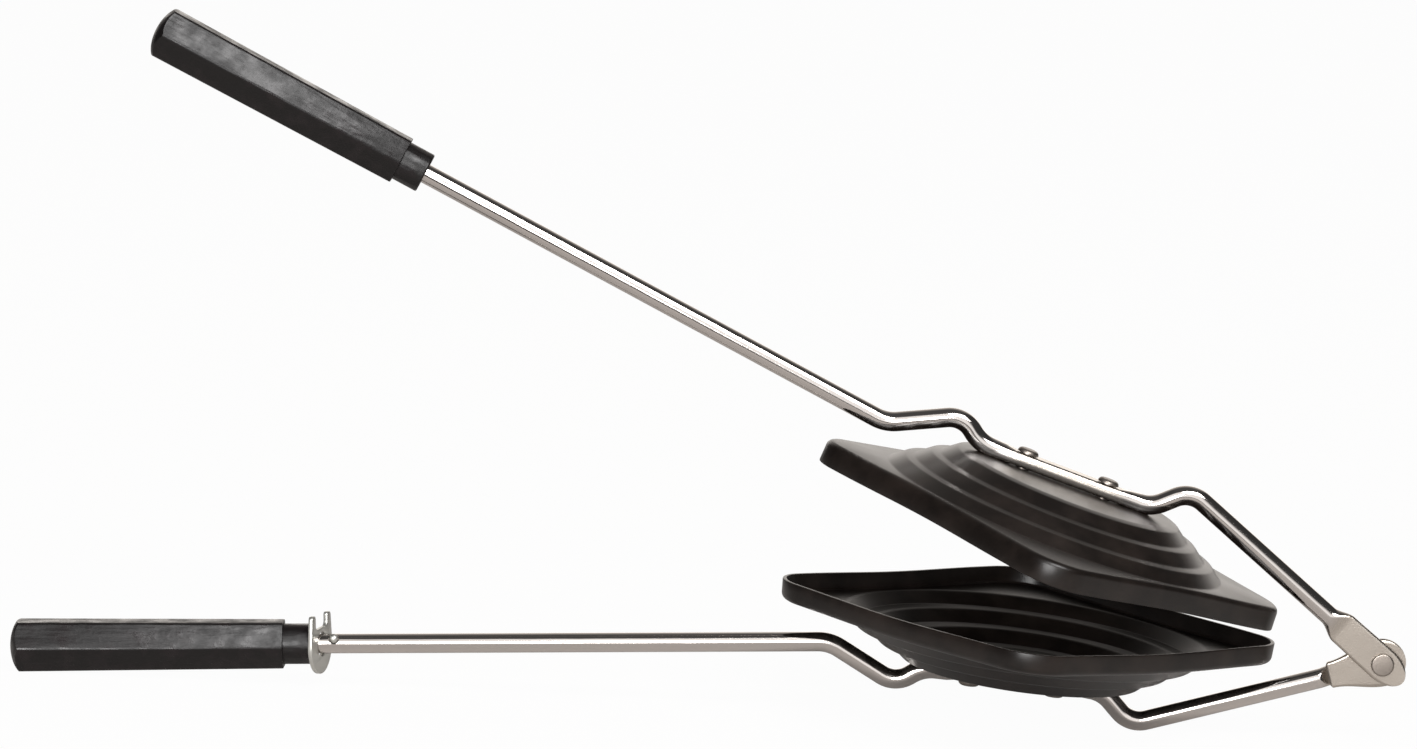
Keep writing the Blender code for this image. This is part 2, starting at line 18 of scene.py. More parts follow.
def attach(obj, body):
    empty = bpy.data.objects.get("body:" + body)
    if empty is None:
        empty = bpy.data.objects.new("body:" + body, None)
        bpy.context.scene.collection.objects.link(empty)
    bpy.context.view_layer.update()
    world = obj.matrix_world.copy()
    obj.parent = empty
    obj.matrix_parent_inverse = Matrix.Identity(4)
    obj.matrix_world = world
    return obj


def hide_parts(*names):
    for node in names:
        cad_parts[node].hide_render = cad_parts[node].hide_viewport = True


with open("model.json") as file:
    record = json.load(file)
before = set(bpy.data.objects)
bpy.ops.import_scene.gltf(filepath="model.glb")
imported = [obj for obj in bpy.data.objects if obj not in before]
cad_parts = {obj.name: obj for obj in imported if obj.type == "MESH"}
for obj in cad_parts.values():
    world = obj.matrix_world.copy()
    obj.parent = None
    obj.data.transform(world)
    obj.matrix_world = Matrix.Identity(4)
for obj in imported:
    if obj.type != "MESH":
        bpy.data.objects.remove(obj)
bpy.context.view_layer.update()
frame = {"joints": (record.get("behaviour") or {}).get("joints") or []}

bl_info = {
    "name": "Stovetop sandwich toaster",
    "version": (1, 0, 0),
    "blender": (4, 5, 0),
    "location": "3D View > Sidebar > Toaster",
    "description": "Models the rods, trays, grips, rivets and latch of a sandwich toaster",
    "category": "Add Mesh",
}

PHOTO_WIDTH = 1417
WHITE = (1, 1, 1, 1)
ORIGIN = (0, 0, 0)
ALONG_X = (0, math.pi / 2, 0)
ALONG_Y = (math.pi / 2, 0, 0)
SHARP_EDGE = math.radians(60)

# How near two places, or two turns, are when they count as one
TINY = 0.00002
TINY_TURN = 0.0001

# Facets round the turned shapes
PIN_SIDES = 32
RIVET_SIDES = 48
COLLAR_SIDES = 64
FINE_SIDES = 96

# Rings along a forged eye, and cuts round a tray
FADE_STEPS = 16
PLATE_STEPS = 10
ROUND_STEPS = 20
SIDE_CUTS = 23
CORNER_STEPS = 16

# Rounding of a head's edge, as a share of its height
HEAD_ROUND = 0.95
TAIL_ROUND = 0.7
HINGE_HEAD_ROUND = 0.6


# Places that come from the frame

def joint(name):
    return next(item for item in frame["joints"] if item["name"] == name)


HINGE = Vector(joint("main_hinge")["pos_m"])
OPEN_ANGLE = -math.radians(joint("main_hinge")["range_deg"][0])
LATCH_PLACE = Vector(joint("latch_swing")["pos_m"])
LATCH_AXIS = Vector(joint("latch_swing")["axis"])


# Sizes and colours that a user would change

def length(name, text, default):
    return bpy.props.FloatProperty(name=name, description=text, default=default, min=0, precision=5,
                                   unit="LENGTH", subtype="DISTANCE")


def angle(name, text, degrees):
    return bpy.props.FloatProperty(name=name, description=text, default=math.radians(degrees),
                                   subtype="ANGLE")


def portion(name, text, default):
    return bpy.props.FloatProperty(name=name, description=text, default=default, min=0, max=1,
                                   subtype="FACTOR")


def count(name, text, default):
    return bpy.props.IntProperty(name=name, description=text, default=default, min=1)


def linear(hex_text):
    """Linear colour of an sRGB hex value."""
    channels = [int(hex_text[i:i + 2], 16) / 255 for i in (1, 3, 5)]
    return [c / 12.92 if c <= 0.04045 else ((c + 0.055) / 1.055) ** 2.4 for c in channels]


def colour(name, text, hex_text):
    return bpy.props.FloatVectorProperty(name=name, description=text, default=linear(hex_text),
                                         size=3, min=0, max=1, subtype="COLOR")


class RodSizes(bpy.types.PropertyGroup):
    radius: length("Radius", "Radius of the round rod", 0.003)
    arm_run: length("Arm run", "Hinge to rear knee, along the bread", 0.0733)
    rear_rise_run: length("Rear rise run", "Rear knee to seat, along the bread", 0.0098)
    rear_knee_depth: length("Rear knee depth", "Height of the rear knee over the seat", 0.0090)
    seat_length: length("Seat length", "Length of the seat under the tray", 0.0551)
    front_rise_run: length("Front rise run", "Seat to front knee, along the bread", 0.0077)
    front_knee_depth: length("Front knee depth", "Height of the front knee over the seat", 0.0061)
    waist_run: length("Waist run", "Front knee to waist, along the bread", 0.0215)
    waist_drop: length("Waist height", "Height of the waist over the bread", 0.0157)
    handle_length: length("Handle length", "Waist to the front of the grip's collar", 0.1585)
    handle_flare: angle("Handle flare", "Slope of the handle away from the bread", 7.9)
    tang_length: length("Tang length", "Length of the rod inside the grip", 0.060)
    rear_knee_bend: length("Rear knee bend", "Bend radius at the rear knee", 0.008)
    seat_rear_bend: length("Seat rear bend", "Bend radius at the seat, hinge end", 0.010)
    seat_front_bend: length("Seat front bend", "Bend radius at the seat, grip end", 0.012)
    front_knee_bend: length("Front knee bend", "Bend radius at the front knee", 0.008)
    waist_bend: length("Waist bend", "Bend radius at the waist", 0.012)
    seat_thickness: length("Seat thickness", "Thickness of the rod on its pressed flat", 0.0042)
    seat_width: length("Seat width", "Width of the rod on its pressed flat", 0.0074)
    seat_fade: length("Seat fade", "Length over which the flat runs out", 0.0050)
    seat_satin: portion("Seat satin", "How satin the pressed faces are, 1 as the forged eyes", 0.8)
    sides: count("Sides", "Facets round the rod", 40)
    bend_steps: count("Bend steps", "Rings in each bend", 14)


class EyeSizes(bpy.types.PropertyGroup):
    thickness: length("Thickness", "Thickness of a forged eye", 0.0023)
    lap: length("Lap", "Half the gap between the two eyes", 0.00015)
    start: length("Start", "Where the flat begins, from the hinge", 0.0160)
    upper_fade: length("Upper fade", "Length of the upper rod's soft change to flat", 0.0062)
    lower_fade: length("Lower fade", "Length of the lower rod's change to flat", 0.0036)
    lower_shoulder: length("Lower shoulder", "Length of the lower rod's square shoulder", 0.0009)
    upper_tip: length("Upper tip", "Upper eye past the hinge", 0.0084)
    upper_half_width: length("Upper half width", "Half the width of the upper eye", 0.0052)
    upper_neck: length("Upper neck", "Half the width of the upper flat", 0.0050)
    lower_tip: length("Lower tip", "Lower eye past the hinge", 0.0074)
    lower_half_width: length("Lower half width", "Half the width of the lower eye", 0.0074)
    lower_neck: length("Lower neck", "Half the width of the lower flat", 0.0041)


class TraySizes(bpy.types.PropertyGroup):
    diagonal: length("Diagonal", "Lower tray across its corners", 0.1510)
    corner_radius: length("Corner radius", "Radius of the tray's corners", 0.0150)
    side_bow: length("Side bow", "How far the middle of a side stands out", 0.0009)
    wall: length("Wall", "Thickness of the sheet", 0.0012)
    nest_gap: length("Nest gap", "Gap between the nested rims", 0.0008)
    rim_lap: length("Rim lap", "How far each rim reaches past the bread's middle", 0.0022)
    lower_rim_height: length("Lower rim height", "Height of the lower rim at its corners", 0.0063)
    upper_rim_height: length("Upper rim height", "Height of the upper rim at its corners", 0.0072)
    rim_dip: length("Rim dip", "How much lower the rim's edge is in the middle of a side", 0.0008)
    rim_draft: length("Rim draft", "Lean of the rim over its height", 0.0003)
    rim_fillet: length("Rim fillet", "Rounding of the rim's shoulder", 0.0018)
    flange_rise: length("Flange rise", "Rise from the rim to the dome", 0.0008)
    dome_radius: length("Dome radius", "Radius of the dome's foot", 0.0560)
    plateau_radius: length("Plateau radius", "Radius of the flat on the dome", 0.0330)
    plateau_height: length("Plateau height", "Height of the flat over the rim's edge", 0.0196)
    riser_run: length("Riser run", "Run of a step's steep part", 0.0042)
    step_round: length("Step rounding", "Rounding of the pressed steps", 0.0005)
    lip_round: length("Lip rounding", "Rounding of the rim's cut edge", 0.0003)
    shift: length("Shift", "Middle of the tray from the middle of the seat", 0.0020)
    steps: count("Steps", "Steps in the dome", 3)
    riser_share: portion("Riser share", "Part of a step's height in its steep part", 0.86)


class RivetSizes(bpy.types.PropertyGroup):
    pitch: length("Pitch", "Distance between a tray's two rivets", 0.0260)
    radius: length("Radius", "Shank radius of a tray rivet", 0.0020)
    head_radius: length("Head radius", "Head radius of a tray rivet", 0.0033)
    head_height: length("Head height", "Head height of a tray rivet", 0.0013)
    tail_radius: length("Tail radius", "Tail radius inside the tray", 0.0030)
    tail_height: length("Tail height", "Tail height inside the tray", 0.0008)
    hinge_radius: length("Hinge rivet radius", "Shank radius of the hinge rivet", 0.0022)
    hinge_head_radius: length("Hinge head radius", "Head radius of the hinge rivet", 0.0035)
    hinge_head_height: length("Hinge head height", "Head height of the hinge rivet", 0.0010)
    fit: length("Fit", "Clearance between neighbouring pieces", 0.0003)


class GripSizes(bpy.types.PropertyGroup):
    length: length("Length", "Length of the six-sided part", 0.0839)
    butt_flats: length("Butt flats", "Distance across flats at the butt", 0.0152)
    front_flats: length("Front flats", "Distance across flats at the front", 0.0141)
    edge_radius: length("Edge", "Rounding of the long edges", 0.0007)
    butt_dome_length: length("Butt dome length", "Length of the rounded butt", 0.0052)
    butt_dome_radius: length("Butt dome radius", "Radius of the rounded butt", 0.0094)
    collar_length: length("Collar length", "Length of the round collar", 0.0082)
    collar_radius: length("Collar radius", "Radius of the round collar", 0.0062)
    collar_round: length("Collar rounding", "Rounding of the collar's front edge", 0.0005)


class LatchSizes(bpy.types.PropertyGroup):
    thickness: length("Thickness", "Thickness of the stamped plate", 0.0013)
    tilt: angle("Tilt", "Turn of the plate on the rod", 15.0)
    radius: length("Radius", "Radius of the plate", 0.0092)
    hole_radius: length("Hole radius", "Radius of the hole for the rod", 0.0037)
    notch_half_width: length("Notch half width", "Half the width of the notch", 0.0050)
    notch_floor: length("Notch floor", "Height of the notch over the rod's axis", 0.0049)
    notch_fillet: length("Notch fillet", "Rounding at the foot of the notch", 0.0015)
    far_tip: length("Far tip", "Height of the far prong", 0.0096)
    near_tip: length("Near tip", "Height of the near prong", 0.0088)
    tip_inset: length("Tip inset", "Narrowing of the plate to its tips", 0.0011)
    tip_round: length("Tip rounding", "Rounding of the tips", 0.0010)
    edge: length("Edge", "Rounding of the stamped edges", 0.0002)
    stand_off: length("Stand-off", "Collar to the middle of the plate, along the rod", 0.0028)
    stop_radius: length("Stop radius", "Radius of the stop pin", 0.0014)
    stop_reach: length("Stop reach", "How far the stop pin reaches from the rod's axis", 0.0045)
    stop_stand_off: length("Stop stand-off", "Latch to stop pin, along the rod", 0.0044)
    stop_lean: angle("Stop lean", "Lean of the stop pin towards the viewer", 50.0)


class Finishes(bpy.types.PropertyGroup):
    coating: colour("Coating", "Non-stick coating of the trays", "#110D0B")
    coating_worn: colour("Worn coating", "Coating where it is rubbed", "#211B18")
    bright_steel: colour("Bright steel", "Plated rod", "#C9C3BF")
    forged_steel: colour("Forged steel", "Satin steel of the eyes", "#B2AAA1")
    rivet_steel: colour("Rivet steel", "Tumbled rivets", "#8F8780")
    phenolic: colour("Phenolic", "Black moulded grip", "#0D0A0A")
    phenolic_bloom: colour("Phenolic bloom", "Pale bloom on the grip", "#1A1516")
    zinc: colour("Zinc", "Plated latch", "#CBCBC6")
    floor: colour("Floor", "Pale floor", "#BDB8B4")


class StageSettings(bpy.types.PropertyGroup):
    distance: length("Camera distance", "Distance from the camera to its target", 2.0)
    azimuth: angle("Azimuth", "Camera round the object", 1.26)
    elevation: angle("Elevation", "Camera over the horizon", 8.14)
    roll: angle("Roll", "Camera about its own axis", 2.88)
    target_run: length("Target run", "Camera target from the hinge, back along the rods", 0.2091)
    target_height: length("Target height", "Camera target over the hinge", 0.0776)
    pixels_per_metre: bpy.props.FloatProperty(
        name="Scale", description="Photo pixels to a metre at the target", default=3297)
    floor_size: length("Floor size", "Side of the square floor", 40.0)
    floor_front: length("Floor front", "Reach of the floor before the object", 0.42)


# Modelling helpers

def settings(context, names):
    """The scene's groups of settings with these names."""
    return [getattr(context.scene, f"toaster_{name}") for name in names.split()]


def start_piece(name, primitive, **values):
    """Adds one primitive, puts its place into its mesh and opens it in edit mode, all selected."""
    bpy.ops.object.select_all(action="DESELECT")
    getattr(bpy.ops.mesh, f"primitive_{primitive}_add")(**values)
    piece = bpy.context.object
    piece.name = name
    piece.data.name = name
    bpy.ops.object.transform_apply(location=True, rotation=True, scale=True)
    bpy.ops.object.mode_set(mode="EDIT")
    pick_all()
    return piece


def pick(kind, test):
    """Selects the vertices, edges or faces that pass the test, and nothing else, in edit mode."""
    bpy.ops.mesh.select_mode(type=kind)
    bpy.ops.mesh.select_all(action="DESELECT")
    shape = bmesh.from_edit_mesh(bpy.context.object.data)
    for item in {"VERT": shape.verts, "EDGE": shape.edges, "FACE": shape.faces}[kind]:
        if test(item):
            item.select_set(True)
    if kind == "VERT":
        shape.select_flush(True)
    bmesh.update_edit_mesh(bpy.context.object.data)


def extrude(offset=ORIGIN):
    bpy.ops.mesh.extrude_region_move(TRANSFORM_OT_translate={"value": offset})


def move(offset):
    bpy.ops.transform.translate(value=offset)


def resize(factors, centre=ORIGIN):
    bpy.ops.transform.resize(value=factors, center_override=centre)


def round_edges(kind, test, width, segments):
    """Rounds the edges that pass a test, or those round the faces that do."""
    pick(kind, test)
    bpy.ops.mesh.bevel(offset=width, segments=segments, profile=0.5, affect="EDGES")


def press_flat(axis, level, half, here):
    """Presses the vertices that pass a test to within a half thickness of a level on an axis."""
    factors = [1, 1, 1]
    factors[axis] = 0
    for face, outside in ((level + half, operator.gt), (level - half, operator.lt)):
        pick("VERT", lambda corner: here(corner) and outside(corner.co[axis], face))
        centre = [0, 0, 0]
        centre[axis] = face
        resize(factors, centre)


def pick_all():
    bpy.ops.mesh.select_all(action="SELECT")


def leave_edit():
    bpy.ops.object.mode_set(mode="OBJECT")


def close_surface():
    """Merges doubles, points all faces outwards and leaves edit mode."""
    bpy.ops.mesh.select_mode(type="VERT")
    pick_all()
    bpy.ops.mesh.remove_doubles(threshold=TINY)
    bpy.ops.mesh.normals_make_consistent(inside=False)
    leave_edit()


def only(piece):
    """Makes a piece the only selected and the active one."""
    bpy.ops.object.select_all(action="DESELECT")
    piece.select_set(True)
    bpy.context.view_layer.objects.active = piece


def copy_piece(piece, name):
    """A copy of a piece, with a mesh of its own."""
    only(piece)
    bpy.ops.object.duplicate()
    copy = bpy.context.object
    copy.name = name
    copy.data.name = name
    return copy


def remove(piece):
    bpy.data.objects.remove(piece, do_unlink=True)


def apply_modifier(piece, name, kind, **values):
    only(piece)
    modifier = piece.modifiers.new(name, kind)
    for key, value in values.items():
        setattr(modifier, key, value)
    bpy.ops.object.modifier_apply(modifier=modifier.name)


def soften(piece, name, width):
    """Rounds the sharp edges of a piece."""
    apply_modifier(piece, name, "BEVEL", width=width, segments=2, limit_method="ANGLE",
                   angle_limit=SHARP_EDGE)


def combine(piece, other, operation):
    """Cuts, joins or trims a piece with another, which is in edit mode and is then removed."""
    leave_edit()
    apply_modifier(piece, other.name, "BOOLEAN", operation=operation, solver="EXACT", object=other)
    remove(other)


def drill(piece, radius, depth, location=ORIGIN, rotation=ORIGIN):
    cutter = start_piece("drill", "cylinder", vertices=RIVET_SIDES, radius=radius, depth=depth,
                         location=location, rotation=rotation)
    combine(piece, cutter, "DIFFERENCE")


def turned_at(spot, turn, axis):
    return Matrix.Translation(spot) @ Matrix.Rotation(turn, 4, axis)


def place(piece, matrix):
    """Moves a piece by a matrix that goes into its mesh, so that its object stays at the origin."""
    only(piece)
    piece.matrix_world = matrix @ piece.matrix_world
    bpy.ops.object.transform_apply(location=True, rotation=True, scale=True)


def finish_piece(piece, material, body, node, smooth=35):
    only(piece)
    bpy.ops.object.shade_smooth_by_angle(angle=math.radians(smooth))
    piece.data.materials.clear()
    piece.data.materials.append(material)
    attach(piece, body)
    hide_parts(node)


def half_matrix(side, flare):
    """Place of a half's own frame. The lower grip's slope gives the tilt of the lower half."""
    tilt = flare - math.atan2(LATCH_AXIS.z, LATCH_AXIS.x)
    if side == "lower":
        turn = Matrix.Rotation(tilt, 4, "Y") @ Matrix.Rotation(math.pi, 4, "X")
    else:
        turn = Matrix.Rotation(tilt + OPEN_ANGLE, 4, "Y")
    return Matrix.Translation(HINGE) @ turn


def mix(first, second, share):
    return first + (second - first) * share


def ease(value, start, end):
    """Zero before start and one after end, with a soft change between them."""
    share = min(max((value - start) / (end - start), 0), 1)
    return share * share * (3 - 2 * share)


# Rods

def rod_corners(rod, rivet, tray):
    """Corners of the rod's centre line as (X, Z) with their bend radii, hinge to grip."""
    seat = tray.plateau_height - tray.rim_lap + rivet.fit + rod.seat_thickness / 2
    rear_knee = Vector((-rod.arm_run, seat + rod.rear_knee_depth))
    seat_rear = Vector((rear_knee.x - rod.rear_rise_run, seat))
    seat_front = Vector((seat_rear.x - rod.seat_length, seat))
    front_knee = Vector((seat_front.x - rod.front_rise_run, seat + rod.front_knee_depth))
    waist = Vector((front_knee.x - rod.waist_run, rod.waist_drop))
    heading = Vector((-math.cos(rod.handle_flare), math.sin(rod.handle_flare)))
    collar = waist + heading * rod.handle_length
    return {
        "rear_knee": (rear_knee, rod.rear_knee_bend),
        "seat_rear": (seat_rear, rod.seat_rear_bend),
        "seat_front": (seat_front, rod.seat_front_bend),
        "front_knee": (front_knee, rod.front_knee_bend),
        "waist": (waist, rod.waist_bend),
        "collar": (collar, 0),
        "tang_end": (collar + heading * rod.tang_length, 0),
    }


def seat_middle(corners):
    """Middle of the seat, as X and Z."""
    rear, front = corners["seat_rear"][0], corners["seat_front"][0]
    return (rear.x + front.x) / 2, rear.y


def drill_for_rivets(piece, rod, rivet, corners):
    """Drills the two rivet holes of a tray or of a rod's seat."""
    middle, level = seat_middle(corners)
    for way in (-1, 1):
        drill(piece, rivet.radius + rivet.fit, 4 * rod.seat_thickness,
              (middle + way * rivet.pitch / 2, 0, level))


def bend(before, corner, after, radius):
    """Start and centre of the round bend at a corner, and how far it turns."""
    into = (corner - before).normalized()
    out = (after - corner).normalized()
    turn = math.atan2(into.x * out.y - into.y * out.x, into.dot(out))
    start = corner - into * radius * math.tan(abs(turn) / 2)
    centre = start + Vector((-into.y, into.x)) * math.copysign(radius, turn)
    return start, centre, turn


def eye_half_width(distance, start, tip, half_width, neck):
    """Half the eye's width at a signed distance past the hinge, along the arm."""
    oval = half_width * math.sqrt(max(1 - (distance / tip) ** 2, 0))
    if distance < 0:
        return max(oval, mix(half_width, neck, ease(-distance, 0, start)), neck)
    return oval


def forge_eye(rod, eye, fade, shoulder, tip, half_width, neck):
    """Draws the eye from the round ring at the end of the rod, and leaves that ring open. It thins
    over its fade and widens over its shoulder."""
    offset = -(eye.lap + eye.thickness / 2)
    stations = [-eye.start - fade * (1 - i / FADE_STEPS) for i in range(1, FADE_STEPS + 1)]
    stations += [-mix(eye.start, tip, i / PLATE_STEPS) for i in range(1, PLATE_STEPS)]
    swings = [math.pi / 2 * (i / ROUND_STEPS - 1) for i in range(2 * ROUND_STEPS)]
    stations += [tip * math.sin(swing) for swing in swings]
    last = -eye.start - fade
    last_centre = 0
    last_width = rod.radius
    for station in stations:
        share = ease(station, -eye.start - fade, -eye.start)
        centre = offset * share
        half = mix(rod.radius, eye.thickness / 2, share)
        flat_width = eye_half_width(station, eye.start, tip, half_width, neck)
        width = mix(rod.radius, flat_width, ease(station, -eye.start - shoulder, -eye.start))
        extrude((station - last, centre - last_centre, 0))
        resize((1, 1, width / last_width), (station, centre, 0))

        def here(corner):
            return abs(corner.co.x - station) < TINY

        press_flat(1, centre, half, here)
        pick("VERT", here)
        last, last_centre, last_width = station, centre, width
    bpy.ops.mesh.edge_face_add()


def draw_rod(name, rod, eye, corners, end):
    """One rod: a forged eye, then straight runs and round bends to the end of the tang."""
    start = -eye.start - end[0]
    piece = start_piece(name, "circle", vertices=rod.sides, radius=rod.radius, fill_type="NOTHING",
                        location=(start, 0, 0), rotation=ALONG_X)
    forge_eye(rod, eye, *end)
    leave_edit()
    points = [Vector((0, 0))] + [corner for corner, radius in corners.values()]
    slope = math.atan2(points[1].y, -points[1].x)
    place(piece, Matrix.Rotation(slope, 4, "Y"))
    bpy.ops.object.mode_set(mode="EDIT")
    pick("EDGE", lambda edge: edge.is_boundary)
    here = points[1].normalized() * -start
    for i, (corner, radius) in enumerate(corners.values(), 1):
        if radius == 0:
            step = corner - here
            extrude((step.x, 0, step.y))
            here = corner
            continue
        begin, centre, turn = bend(points[i - 1], corner, points[i + 1], radius)
        step = begin - here
        for _ in range(rod.bend_steps):
            extrude((step.x / rod.bend_steps, 0, step.y / rod.bend_steps))
        bpy.ops.mesh.spin(steps=rod.bend_steps, angle=turn, center=(centre.x, 0, centre.y),
                          axis=(0, 1, 0))
        swing = Matrix.Rotation(turn, 2)
        here = centre + swing @ (begin - centre)
    bpy.ops.mesh.edge_face_add()
    press_seat(rod, corners)
    close_surface()
    return piece


def press_seat(rod, corners):
    """Presses the rod flat between the two bends of its seat."""
    rear, front = corners["seat_rear"][0], corners["seat_front"][0]
    half = rod.seat_thickness / 2
    rear_end = rear.x - rod.seat_rear_bend / 2
    front_end = front.x + rod.seat_front_bend / 2
    shape = bmesh.from_edit_mesh(bpy.context.object.data)
    on_seat = [corner.co.x for corner in shape.verts
               if front_end < corner.co.x < rear_end and abs(corner.co.z - rear.y) < rod.radius]
    for x in sorted({round(spot, 5) for spot in on_seat}):
        share = ease(x, front_end, front_end + rod.seat_fade)
        share *= 1 - ease(x, rear_end - rod.seat_fade, rear_end)
        level = mix(rod.radius, half, share)
        widen = mix(1, rod.seat_width / 2 / rod.radius, share)

        def here(corner):
            near = abs(corner.co.z - rear.y) < 2 * rod.radius
            return near and abs(corner.co.x - x) < TINY

        pick("VERT", here)
        resize((1, widen, 1), (x, 0, rear.y))
        press_flat(2, rear.y, level, here)


def mark_forging(piece, eye, fade, arm_slope, pressed):
    """Stores how far the rod is forged: 0 on the round bar, 1 on the flat of the eye, and part of
    that on the pressed faces of the seat."""
    along = Vector((math.cos(arm_slope), 0, -math.sin(arm_slope)))
    attribute = piece.data.attributes.new("forged", "FLOAT", "POINT")
    for corner, value in zip(piece.data.vertices, attribute.data):
        distance = corner.co.dot(along)
        value.value = max(ease(distance, -eye.start - fade, -eye.start - fade / 4), pressed(corner))


class TOASTER_OT_rods(bpy.types.Operator):
    """Two bent rods of plated steel, pressed flat under the trays and forged into hinge eyes"""
    bl_idname = "toaster.rods"
    bl_label = "Bent rods"

    def execute(self, context):
        rod, eye, rivet, tray, latch, finish = settings(context, "rod eye rivet tray latch finish")
        steel = make_material(bright_plated_steel, finish)
        corners = rod_corners(rod, rivet, tray)
        ends = {
            "lower": (eye.lower_fade, eye.lower_shoulder, eye.lower_tip, eye.lower_half_width,
                      eye.lower_neck),
            "upper": (eye.upper_fade, eye.upper_fade, eye.upper_tip, eye.upper_half_width,
                      eye.upper_neck),
        }
        knee = corners["rear_knee"][0]
        slope = math.atan2(knee.y, -knee.x)
        middle, seat = seat_middle(corners)

        def pressed(corner):
            within = abs(corner.co.x - middle) < rivet.pitch / 2 + 2 * rod.radius
            on_seat = within and abs(corner.co.z - seat) < rod.seat_thickness / 2 + TINY
            return rod.seat_satin if on_seat else 0

        for side, end in ends.items():
            piece = draw_rod(f"{side}_bent_rod", rod, eye, corners, end)
            mark_forging(piece, eye, end[0], slope, pressed)
            drill(piece, rivet.hinge_radius + rivet.fit, 4 * eye.thickness, rotation=ALONG_Y)
            drill_for_rivets(piece, rod, rivet, corners)
            if side == "lower":
                heading = (corners["tang_end"][0] - corners["collar"][0]).normalized()
                stop = corners["collar"][0] - heading * (latch.stand_off + latch.stop_stand_off)
                drill(piece, latch.stop_radius + rivet.fit, 4 * latch.stop_reach,
                      (stop.x, 0, stop.y), (latch.stop_lean, rod.handle_flare, 0))
            place(piece, half_matrix(side, rod.handle_flare))
            finish_piece(piece, steel, f"{side}_half", f"{side}_rod", smooth=50)
        return {"FINISHED"}


# Trays

def side_turn(corner):
    """Angle of a vertex from the middle of the tray's nearest side."""
    near, far = sorted((abs(corner.co.x), abs(corner.co.y)))
    return math.atan2(near, far)


def swell(level, amount):
    """Lifts the ring at a level, most in the middle of each side and nothing at its corners."""

    def on_ring(corner):
        return abs(corner.co.z - level) < TINY

    shape = bmesh.from_edit_mesh(bpy.context.object.data)
    turns = sorted({round(side_turn(corner), 4) for corner in shape.verts if on_ring(corner)})
    for turn in turns:
        pick("VERT", lambda corner: on_ring(corner) and abs(side_turn(corner) - turn) < TINY_TURN)
        move((0, 0, amount * math.cos(2 * turn) ** 2))


def round_ring(radius, level):
    """Presses the picked ring level and rounds it to a radius."""
    resize((1, 1, 0), (0, 0, level))
    bpy.ops.transform.tosphere(value=1)
    shape = bmesh.from_edit_mesh(bpy.context.object.data)
    reach = max(corner.co.xy.length for corner in shape.verts if corner.select)
    resize((radius / reach, radius / reach, 1), (0, 0, level))


def press_tray(name, tray, inset, rim_height, centre_x):
    """A pressed tray: rim, flange, stepped dome and plateau, with the thickness of its sheet."""
    half_diagonal = tray.diagonal / 2 - inset
    radius = tray.corner_radius - inset
    middle = (half_diagonal - radius) / math.sqrt(2)
    half_side = middle + radius
    piece = start_piece(name, "plane", size=2 * half_side)
    bpy.ops.mesh.bevel(offset=radius, segments=CORNER_STEPS, affect="VERTICES")
    pick("EDGE", lambda edge: edge.calc_length() > middle)
    bpy.ops.mesh.subdivide(number_cuts=SIDE_CUTS)
    for i in range(1, SIDE_CUTS // 2 + 2):
        share = 1 - 2 * i / (SIDE_CUTS + 1)
        bow = tray.side_bow * (1 - share ** 2)

        def on_side(corner):
            along = min(abs(corner.co.x), abs(corner.co.y))
            return abs(along - middle * share) < TINY and corner.co.xy.length < half_diagonal - TINY

        pick("VERT", on_side)
        grow = 1 + bow / half_side
        resize((grow, grow, 1))

    lip = -tray.rim_lap
    top = rim_height - tray.rim_lap
    side = half_side + tray.side_bow
    pick_all()
    move((0, 0, lip))
    extrude((0, 0, rim_height))
    drafted = 1 - tray.rim_draft / side
    resize((drafted, drafted, 1), (0, 0, top))
    pick("FACE", lambda face: face.calc_center_median().z < lip + TINY)
    bpy.ops.mesh.delete(type="FACE")
    swell(lip, tray.rim_dip)
    swell(top, tray.flange_rise)

    foot = tray.dome_radius - inset
    plateau = tray.plateau_height - tray.rim_lap
    dome = top + tray.flange_rise
    rise = (plateau - dome) / tray.steps
    run = (foot - tray.plateau_radius) / tray.steps
    pick("FACE", lambda face: face.calc_center_median().xy.length < TINY)
    for step in range(tray.steps):
        extrude()
        round_ring(foot - run * step, dome + rise * step)
        extrude()
        round_ring(foot - run * step - tray.riser_run, dome + rise * (step + tray.riser_share))
    extrude()
    round_ring(tray.plateau_radius, plateau)

    def on_dome(corner):
        return corner.co.xy.length < foot + tray.step_round

    def on_rim_top(edge):
        return all(end.co.z > top - TINY and not on_dome(end) for end in edge.verts)

    round_edges("EDGE", on_rim_top, tray.rim_fillet, 5)

    def on_step(edge):
        first, second = edge.verts
        return abs(first.co.z - second.co.z) < TINY and on_dome(first) and on_dome(second)

    round_edges("EDGE", on_step, tray.step_round, 3)
    close_surface()
    apply_modifier(piece, "Wall", "SOLIDIFY", thickness=tray.wall, offset=-1, use_even_offset=True)
    soften(piece, "Lip", tray.lip_round)
    place(piece, turned_at((centre_x, 0, 0), math.pi / 4, "Z"))
    return piece


class TOASTER_OT_trays(bpy.types.Operator):
    """Two pressed trays with a stepped dome, coated inside and out"""
    bl_idname = "toaster.trays"
    bl_label = "Pressed trays"

    def execute(self, context):
        rod, rivet, tray, finish = settings(context, "rod rivet tray finish")
        coating = make_material(sprayed_nonstick_coating, finish)
        corners = rod_corners(rod, rivet, tray)
        middle, _ = seat_middle(corners)
        nested = tray.wall + tray.nest_gap
        for side, inset, rim_height in (("lower", 0, tray.lower_rim_height),
                                        ("upper", nested, tray.upper_rim_height)):
            piece = press_tray(f"{side}_pressed_tray", tray, inset, rim_height, middle + tray.shift)
            drill_for_rivets(piece, rod, rivet, corners)
            place(piece, half_matrix(side, rod.handle_flare))
            finish_piece(piece, coating, f"{side}_half", f"{side}_tray")
        return {"FINISHED"}


# Rivets

